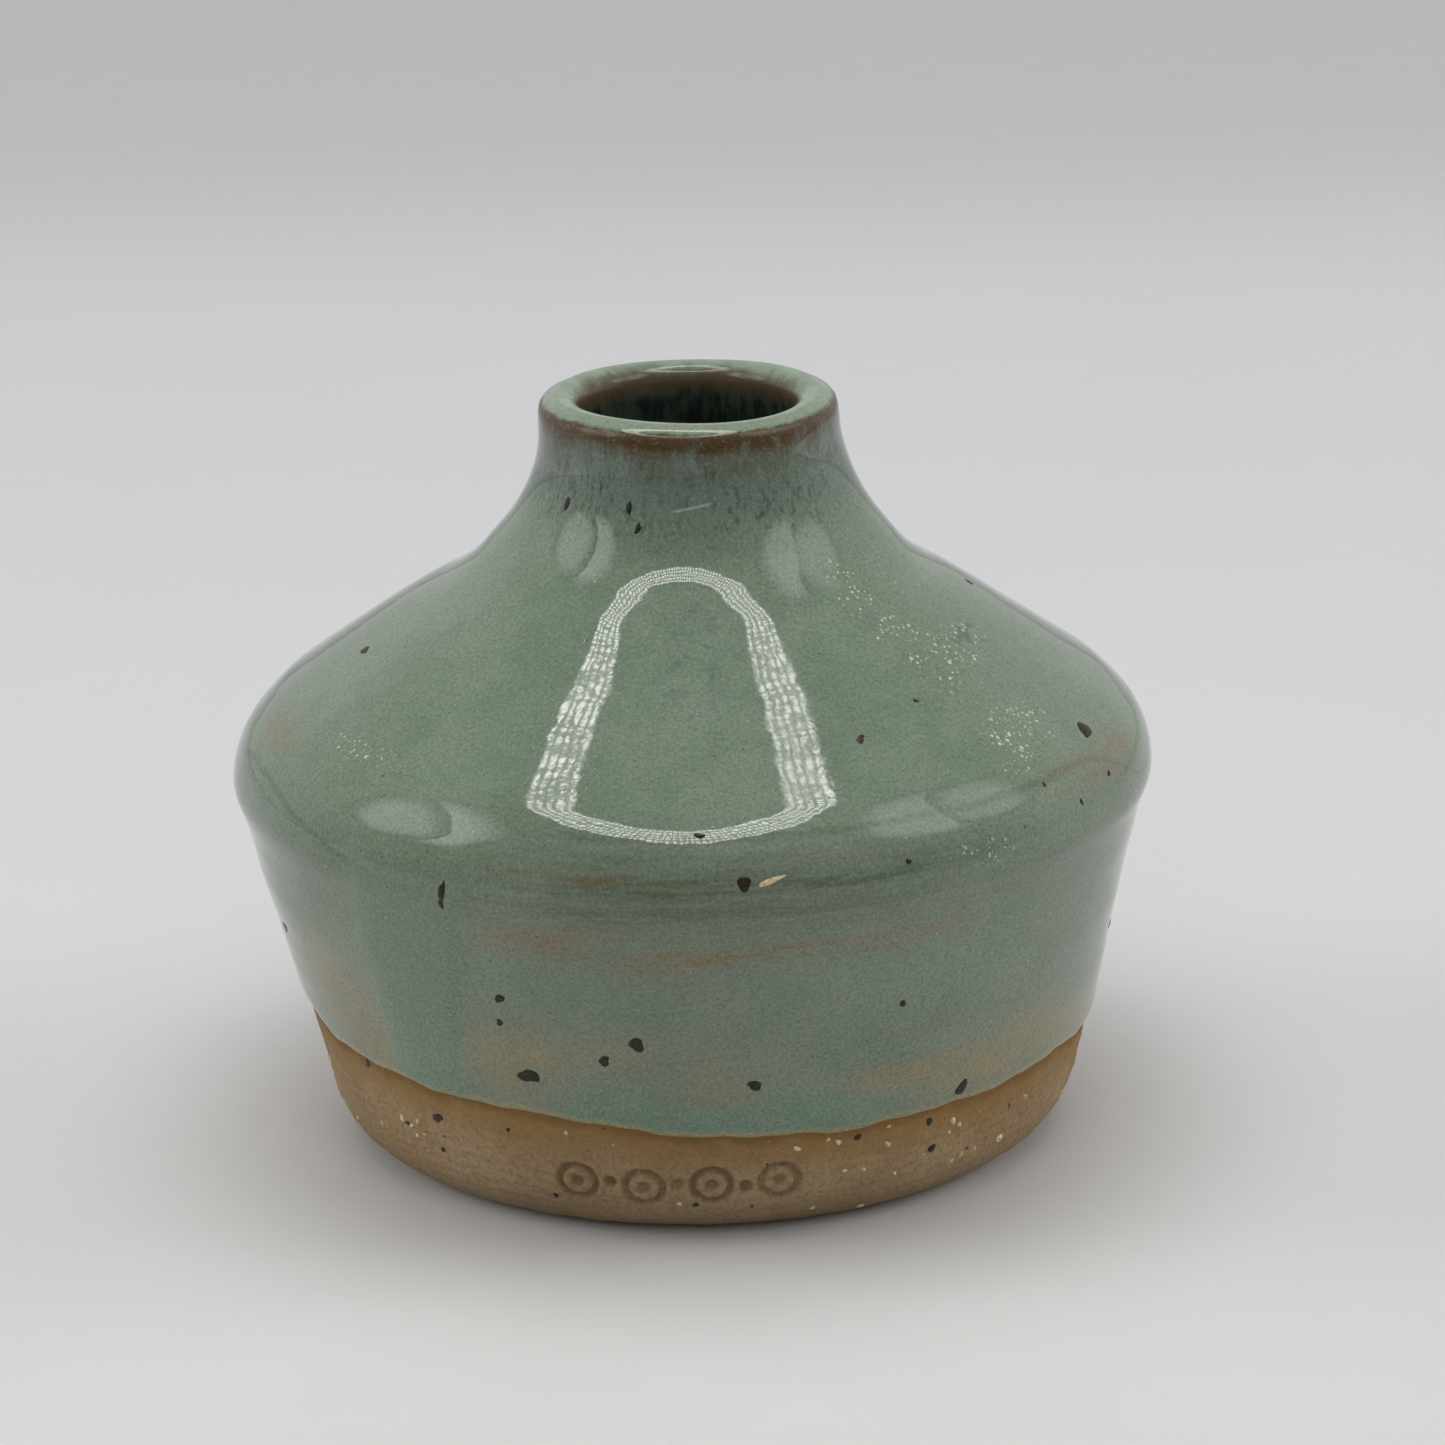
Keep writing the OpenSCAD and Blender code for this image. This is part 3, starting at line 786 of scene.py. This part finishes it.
FELDSPAR, FELDSPAR_WARM, FELDSPAR_STAIN = srgb(214, 198, 160), srgb(196, 176, 132), srgb(168, 142, 100)
CARD, CARD_LIT, CARD_FRONT_SHADOW = srgb(212, 211, 210), srgb(219, 219, 221), srgb(194, 193, 192)
CARD_CLOUD, CARD_FAR_SHADE, LAMP_WHITE = srgb(228, 228, 230), srgb(203, 203, 205), srgb(255, 253, 248)


def outer_glaze_material():
    m = Shader("celadon_glaze")
    cloud = m.noise(15, 2)
    mottle = m.noise(3.2, 3, shift=11)
    fine = m.noise(0.5, 3, 0.6, shift=5)
    across = m.plus(m.times(m.noise(1.1, 4, 0.65, stretch=(9, 9, 1), shift=3), 0.55),
                    m.times(m.noise(0.5, 3, 0.6, stretch=(12, 12, 1), shift=37), 0.45))
    down = m.noise(0.5, 3, 0.65, stretch=(1, 1, 4.5), shift=7)

    wall = m.mix(m.fade(m.plus(m.times(cloud, 0.7), m.times(mottle, 0.3)), 0.35, 0.65), WALL_GLAZE, WALL_PALE)
    sage = m.mix(m.fade(m.plus(m.times(cloud, 0.6), m.times(mottle, 0.4)), 0.38, 0.62), SAGE_DEEP, SAGE)
    edge = m.plus(m.attribute("sage"), m.sway(mottle, 2.5))
    colour = m.mix(m.fade(edge, -1.4, 1.2), wall, sage)

    overlap = m.math("ABSOLUTE", m.plus(m.attribute("sage"), m.sway(mottle, 1.0)))
    around = m.attribute("around")
    sloping = m.fade(m.math("ABSOLUTE", m.plus(around, 25)), 6, 12, 0.15, 1.0)
    colour = m.mix(m.times(m.fade(overlap, 0.05, 0.45, 0.30, 0.0), sloping), colour, OLIVE)
    colour = m.mix(m.times(m.attribute("olive"), 0.30), colour, OLIVE)

    # the neck, where the coat ran thin and streaked
    height = m.attribute("height")
    on_neck = m.fade(m.plus(height, m.sway(down, 4)), 60.5, 65.5)
    colour = m.mix(m.times(on_neck, 0.9), colour, NECK_GLAZE)
    gathered = m.fade(m.noise(7, 2, shift=29), 0.3, 0.6, 0.3, 1.0)
    streaks = m.times(m.fade(down, 0.50, 0.68), m.fade(height, 59.5, 64.0), gathered)
    colour = m.mix(m.times(streaks, 0.62), colour, STREAK)
    tongues = m.fade(m.noise(2.6, 2, stretch=(1, 1, 3), shift=19), 0.42, 0.62)
    below_lip = m.plus(m.times(m.fade(height, 66.0, 70.8), tongues), m.times(m.fade(height, 69.2, 70.8), 0.7))
    colour = m.mix(m.math("MULTIPLY", below_lip, 0.6, clamp=True), colour, LIP_BROWN)
    # a shallow scratch on the neck: its groove is in the bump, its pale colour a painted highlight along its
    # edge
    from_scratch = m.math("ABSOLUTE", m.math("SUBTRACT", height, m.plus(m.times(around, 0.05), 65.1)))
    scratch_ends = m.fade(m.math("ABSOLUTE", around), 4.5, 8.5, 1.0, 0.0)
    scratch_and_highlight = m.times(m.fade(from_scratch, 0.05, 0.17, 1.0, 0.0), scratch_ends)
    colour = m.mix(m.times(scratch_and_highlight, 0.6), colour, SCRATCH_HIGHLIGHT)

    # breaks, painted shade under the belly, pools and thin places
    bands = m.times(m.attribute("bands"), m.fade(across, 0.43, 0.57, 0.25, 1.0))
    colour = m.mix(m.times(bands, 0.85), colour, RUST_BAND)
    # the dark olive lines under the belly: partly glaze colour, partly painted shade and dark reflection
    dark = m.times(m.attribute("dark"), m.fade(across, 0.42, 0.56, 0.3, 1.0))
    colour = m.mix(m.times(dark, 0.5), colour, OLIVE)
    patchy = m.fade(m.plus(m.times(mottle, 0.5), m.times(across, 0.5)), 0.36, 0.6, 0.5, 1.0)
    thin = m.times(m.attribute("thin"), patchy)
    colour = m.mix(m.times(thin, 0.8), colour, TAN)
    pool = m.fade(m.plus(m.attribute("pool"), m.sway(mottle, 0.5)), 0.2, 0.8)
    pooled = m.mix(m.fade(m.plus(m.times(fine, 0.3), m.times(mottle, 0.7)), 0.3, 0.7), TEAL_DEEP, TEAL)
    colour = m.mix(m.times(pool, 0.8), colour, pooled)
    green_drip = m.times(m.attribute("drip"), m.fade(height, 15, 24))
    colour = m.mix(m.times(green_drip, 0.75), colour, SAGE_DEEP)
    above = m.plus(m.attribute("above_line"), m.sway(mottle, 0.5))
    colour = m.mix(m.fade(above, 0.3, 1.3, 0.8, 0.0), colour, OCHRE)

    # lip edge worn through to brown
    to_lip = m.plus(m.attribute("to_lip"), m.sway(m.noise(1.6, 4, 0.7, shift=23), 0.8))
    colour = m.mix(m.fade(to_lip, 0.9, 1.4, 0.9, 0.0), colour, RIM)
    lip = m.times(m.fade(to_lip, 1.15, 1.5), m.fade(to_lip, 1.9, 2.6, 1.0, 0.0))
    colour = m.mix(m.times(lip, 0.9), colour, LIP_BROWN)

    # specks, crystals and melts
    grain = m.noise(0.32, 4, 0.75, shift=51)
    colour = m.mix(m.fade(grain, 0.52, 0.36, 0.0, 0.30), colour, SPECK)
    colour = m.mix(m.fade(grain, 0.52, 0.68, 0.0, 0.22), colour, WALL_LIGHT)
    specks = m.plus(m.dots(0.9, 0.15, 0.16), m.dots(1.9, 0.24, 0.10, shift=4))
    colour = m.mix(m.math("MULTIPLY", specks, 0.55, clamp=True), colour, SPECK)
    pale = m.dots(1.4, 0.17, 0.16, shift=9)
    colour = m.mix(m.times(pale, 0.3), colour, CRYSTAL)
    crystal_place = m.plus(m.attribute("crystals"), m.sway(mottle, 0.8))
    crystal = m.times(m.plus(m.dots(0.5, 0.17, 0.75, shift=15), m.dots(0.9, 0.27, 0.6, shift=17)),
                      m.fade(crystal_place, 0.25, 0.85))
    colour = m.mix(m.math("MULTIPLY", crystal, 0.75, clamp=True), colour, CRYSTAL)
    melt = m.times(m.attribute("melts"), m.fade(m.noise(0.9, 3, stretch=(2, 2, 1), shift=31), 0.5, 0.62))
    colour = m.mix(m.times(melt, 0.6), colour, MELT)

    satin = m.attribute("satin")
    roughness = m.plus(m.fade(mottle, 0.3, 0.7, 0.02, 0.04), m.times(satin, 0.07), m.times(crystal, 0.12),
                       m.times(m.fade(above, 0.1, 0.8, 1.0, 0.0), 0.15), m.times(lip, 0.18),
                       m.times(bands, 0.05))
    peel = m.sway(m.noise(2.2, 2, shift=41), 0.012)
    grit = m.times(m.math("SUBTRACT", m.noise(0.4, 2, shift=43), 0.5), m.fade(satin, 0, 1, 0.0007, 0.004))
    height_map = m.plus(peel, grit, m.times(crystal, 0.006), m.times(specks, -0.004), m.times(scratch_and_highlight, -0.02))
    return m.finish(colour, roughness, height_map)


def liner_material():
    m = Shader("liner_glaze_dark")
    depth = m.attribute("depth")
    mottle = m.noise(1.8, 4, 0.6, shift=2)
    down = m.noise(0.6, 3, 0.6, stretch=(1, 1, 7), shift=8)
    uneven = m.plus(depth, m.sway(mottle, 0.10))
    rim = m.mix(m.fade(mottle, 0.4, 0.6), RIM, RIM_DEEP)
    running = m.plus(m.times(down, 0.5), m.times(mottle, 0.5))
    inside = m.mix(m.fade(running, 0.40, 0.62), INSIDE_GREEN, INSIDE_BLACK)
    colour = m.mix(m.fade(uneven, 0.05, 0.14), rim, THROAT_BROWN)
    colour = m.mix(m.fade(uneven, 0.12, 0.30), colour, inside)
    colour = m.mix(m.times(m.dots(1.2, 0.2, 0.25), 0.5), colour, SPECK)
    rough = m.fade(mottle, 0.3, 0.7, 0.09, 0.17)
    peel = m.plus(m.sway(m.noise(1.7, 2, shift=9), 0.02), m.times(down, 0.006))
    return m.finish(colour, rough, peel)


def clay_material():
    m = Shader("sandy_stoneware")
    below = m.attribute("below_line")
    cloud = m.noise(9, 3, shift=1)
    mottle = m.noise(2.4, 4, 0.6, shift=6)
    sand = m.noise(0.5, 4, 0.7, shift=12)
    buff = m.mix(m.fade(cloud, 0.35, 0.65), BUFF, BUFF_PALE)
    buff = m.mix(m.fade(sand, 0.40, 0.70, 0.0, 0.55), buff, SAND_DARK)
    toast = m.plus(below, m.sway(mottle, 2.2))
    colour = m.mix(m.fade(toast, 0.4, 5.0, 0.8, 0.0), buff, TOAST)
    colour = m.mix(m.fade(toast, 0.0, 1.3, 0.7, 0.0), colour, TOAST_DEEP)
    # darker and greyer towards the bottom of the foot
    colour = m.mix(m.times(m.attribute("low"), 0.35), colour, FOOT_GREY)
    # painted shade in the stamped rings and dots
    colour = m.mix(m.times(m.attribute("pressed"), 0.60), colour, STAMP_SHADE)
    dark = m.plus(m.dots(1.5, 0.2, 0.2, shift=3), m.dots(3.1, 0.3, 0.14, shift=5))
    colour = m.mix(m.math("MULTIPLY", dark, 0.75, clamp=True), colour, CLAY_SPECK)
    pale = m.plus(m.dots(1.1, 0.16, 0.2, shift=7), m.dots(2.6, 0.26, 0.16, shift=8))
    colour = m.mix(m.math("MULTIPLY", pale, 0.6, clamp=True), colour, CLAY_GRAIN)
    rough = m.fade(sand, 0.3, 0.7, 0.78, 0.95)
    grain = m.plus(m.times(sand, 0.07), m.times(m.noise(0.22, 2, shift=14), 0.03), m.times(mottle, 0.05),
                   m.times(m.dots(1.3, 0.22, 0.3, shift=16), -0.05), m.times(pale, 0.03))
    return m.finish(colour, rough, grain, ior=1.4)


def iron_material():
    m = Shader("melted_iron")
    mottle = m.noise(0.45, 4, 0.65, shift=3)
    tone = m.attribute("tone")
    black = m.mix(tone, IRON_BLACK, IRON_BROWN)
    colour = m.mix(m.fade(mottle, 0.45, 0.7), black, IRON_RUST)
    m.surface.inputs["Specular IOR Level"].default_value = 0.3
    return m.finish(colour, m.fade(mottle, 0.3, 0.7, 0.22, 0.4), m.times(mottle, 0.03))


def feldspar_material():
    m = Shader("feldspar_grain")
    mottle = m.noise(0.35, 3, 0.6, shift=4)
    pale = m.mix(m.attribute("tone"), FELDSPAR, FELDSPAR_WARM)
    colour = m.mix(m.fade(mottle, 0.45, 0.7), pale, FELDSPAR_STAIN)
    return m.finish(colour, m.fade(mottle, 0.3, 0.7, 0.45, 0.7), m.times(mottle, 0.05))


# ------------------------------------------------------------------ pieces
def add_piece(obj, material, node):
    obj.data.materials.append(material)
    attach(obj, "root")
    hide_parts(node)


add_piece(clay(), clay_material(), "stoneware_body")
add_piece(outer_coat(), outer_glaze_material(), "outer_glaze")
add_piece(liner_coat(), liner_material(), "liner_glaze")
add_piece(iron_specks(), iron_material(), "iron_specks")
add_piece(grains(), feldspar_material(), "feldspar_grains")


# ------------------------------------------------------------------ camera
CAMERA_PLACE = (2.73, -600, 230.7)      # in front, 0.6 m away
CAMERA_DOWN, CAMERA_ROLL = 17.67, -1.06  # degrees
SENSOR_WIDTH, FOCAL_LENGTH = 36, 163.5   # a long lens, as for a close product picture

camera_data = bpy.data.cameras.new("camera")
camera_data.sensor_width = SENSOR_WIDTH
camera_data.lens = FOCAL_LENGTH
camera_data.clip_start, camera_data.clip_end = 0.01, 30
camera = bpy.data.objects.new("camera", camera_data)
bpy.context.scene.collection.objects.link(camera)
camera.matrix_world = (Matrix.Translation([c * MM for c in CAMERA_PLACE])
                       @ Matrix.Rotation(math.radians(90 - CAMERA_DOWN), 4, "X")
                       @ Matrix.Rotation(math.radians(CAMERA_ROLL), 4, "Z"))
bpy.context.scene.camera = camera
bpy.context.scene.view_settings.view_transform = "Standard"


# ------------------------------------------------------------------ floor and light
def floor():
    half = 2500
    corners = [(-half, -half, 0), (half, -half, 0), (half, half, 0), (-half, half, 0)]
    obj = write_mesh("floor", corners, [(0, 1, 2, 3)])
    m = Shader("pale_card")
    split = m.tree.nodes.new("ShaderNodeSeparateXYZ")
    m.put(split.inputs[0], m.mm)
    # painted light and shade on the card: lighter around and behind the pot, a painted shadow towards the
    # front, painted shade at the far back
    back = m.fade(split.outputs[1], 305, 450)
    card = m.mix(m.fade(split.outputs[1], -60, 190), CARD, CARD_LIT)
    card = m.mix(m.fade(split.outputs[1], -150, -70, 1.0, 0.0), card, CARD_FRONT_SHADOW)
    card = m.mix(m.fade(m.noise(40, 2), 0.3, 0.7, 0.0, 0.1), card, CARD_CLOUD)
    card = m.mix(back, card, CARD_FAR_SHADE)
    rough = m.fade(m.noise(6, 2), 0.3, 0.7, 0.55, 0.65)
    obj.data.materials.append(m.finish(card, rough, m.times(m.noise(1.5, 2), 0.01)))


RING_HEIGHT, RING_MIDDLE, RING_RADIUS, RING_WIDTH = 250, (-8, -42), 79, 31
RING_ROWS, RING_LAMPS, RING_GLOW = 5, 110, 8.5
LAMP_PEAK, LAMP_GROUND = 1.7, 0.24     # glow of each small lamp, and of the panel between them


def only_reflected(obj):
    """Leaves a glowing thing to be seen in reflections alone."""
    obj.visible_camera = False
    obj.visible_diffuse = False
    obj.visible_shadow = False


def ring_light():
    """The studio's round lamp: five rows of small lamps in a flat ring over the pot."""
    columns = 160
    inner = RING_RADIUS - RING_WIDTH / 2
    points = []
    for r in range(2):
        for k in range(columns):
            a = 2 * math.pi * k / columns
            rad = inner + RING_WIDTH * r
            x, y = RING_MIDDLE[0] + rad * math.cos(a), RING_MIDDLE[1] + rad * math.sin(a)
            points.append((x, y, RING_HEIGHT))
    faces = [(k, (k + 1) % columns, columns + (k + 1) % columns, columns + k) for k in range(columns)]
    obj = write_mesh("ring_lamp", points, faces)
    m = Shader("lamp_glow")
    flat = m.vector("SUBTRACT", m.mm, (*RING_MIDDLE, RING_HEIGHT))
    length = m.tree.nodes.new("ShaderNodeVectorMath")
    length.operation = "LENGTH"
    m.put(length.inputs[0], flat)
    row = m.times(m.math("SUBTRACT", length.outputs["Value"], inner), RING_ROWS / RING_WIDTH)
    stripe = m.math("SINE", m.times(row, math.pi))
    split = m.tree.nodes.new("ShaderNodeSeparateXYZ")
    m.put(split.inputs[0], flat)
    angle = m.math("ARCTAN2", split.outputs[1], split.outputs[0])
    lamp = m.math("SINE", m.times(angle, RING_LAMPS / 2))
    dots = m.times(stripe, stripe, lamp, lamp)
    strength = m.times(m.plus(m.times(dots, LAMP_PEAK), LAMP_GROUND), RING_GLOW)
    obj.data.materials.append(m.glow(LAMP_WHITE, strength))
    only_reflected(obj)


def area_light(name, place_mm, towards, size, power):
    """A round soft light that is never seen itself, in the picture or in a reflection."""
    data = bpy.data.lights.new(name, "AREA")
    data.shape = "DISK"
    data.size = size * MM
    data.energy = power
    obj = bpy.data.objects.new(name, data)
    bpy.context.scene.collection.objects.link(obj)
    where, aim = Vector(place_mm) * MM, Vector(towards) * MM
    obj.matrix_world = Matrix.Translation(where) @ (where - aim).to_track_quat("Z", "Y").to_matrix().to_4x4()
    obj.visible_glossy = False
    obj.visible_camera = False


def glow_disc(name, place_mm, towards, radius, glow):
    """A soft-edged round patch of window light that only shows as a reflection."""
    segments = 48
    where, aim = Vector(place_mm), Vector(towards)
    turned = (where - aim).to_track_quat("Z", "Y").to_matrix()
    points = [where]
    for k in range(segments):
        a = 2 * math.pi * k / segments
        points.append(where + turned @ Vector((radius * math.cos(a), radius * math.sin(a), 0)))
    faces = [(0, 1 + k, 1 + (k + 1) % segments) for k in range(segments)]
    obj = write_mesh(name, [tuple(p) for p in points], faces, {"middle": [1.0] + [0.0] * segments})
    m = Shader(name + "_glow")
    strength = m.times(m.fade(m.attribute("middle"), 0.0, 0.5), glow)
    obj.data.materials.append(m.glow((1, 1, 1, 1), strength))
    only_reflected(obj)


# Soft windows to the sides, as (place, radius, glow)
WINDOWS = {
    "left_front": ((-167, -52, 188), 68, 2.6),
    "left_back": ((-178, -14, 160), 54, 1.9),
    "right_front": ((152, -52, 194), 70, 2.1),
    "right_back": ((168, -6, 174), 54, 1.5),
}

floor()
ring_light()
area_light("ring_fill", (*RING_MIDDLE, RING_HEIGHT), (*RING_MIDDLE, 0), 2 * RING_RADIUS, 0.11)
area_light("overhead_fill", (0, 250, 1600), (0, 100, 0), 1600, 9.0)
area_light("front_fill", (0, -1300, 900), (0, 0, 30), 1400, 5.9)
area_light("left_fill", (-1500, 75, 583), (0, 0, 20), 1090, 9.7)
area_light("right_fill", (1500, 75, 583), (0, 0, 20), 1090, 9.7)
for corner, (where, radius, glow) in WINDOWS.items():
    glow_disc("window_" + corner, where, (0, -15, 55), radius, glow)

# The room: a bright sweep behind, a darker side where the camera stands, and a grey ceiling
ROOM_FRONT, ROOM_BACK, ROOM_TOP, ROOM_SEEN = 0.10, 0.55, 0.22, 0.62
world = bpy.data.worlds.new("studio")
bpy.context.scene.world = world
world.use_nodes = True


def light_room(tree):
    room = Nodes(tree)
    split = room.new("SeparateXYZ")
    room.put(split.inputs[0], room.new("TexCoord").outputs["Generated"])
    around = room.fade(split.outputs[1], -0.45, 0.35, ROOM_FRONT, ROOM_BACK)
    level = room.blend(room.fade(split.outputs[2], 0.35, 0.8), around, ROOM_TOP)
    seen_directly = room.new("LightPath").outputs["Is Camera Ray"]
    sky = room.new("Background")
    sky.inputs["Color"].default_value = (1, 1, 1, 1)
    room.put(sky.inputs["Strength"], room.blend(seen_directly, level, ROOM_SEEN))
    room.put(room.new("OutputWorld").inputs[0], sky.outputs[0])


light_room(world.node_tree)
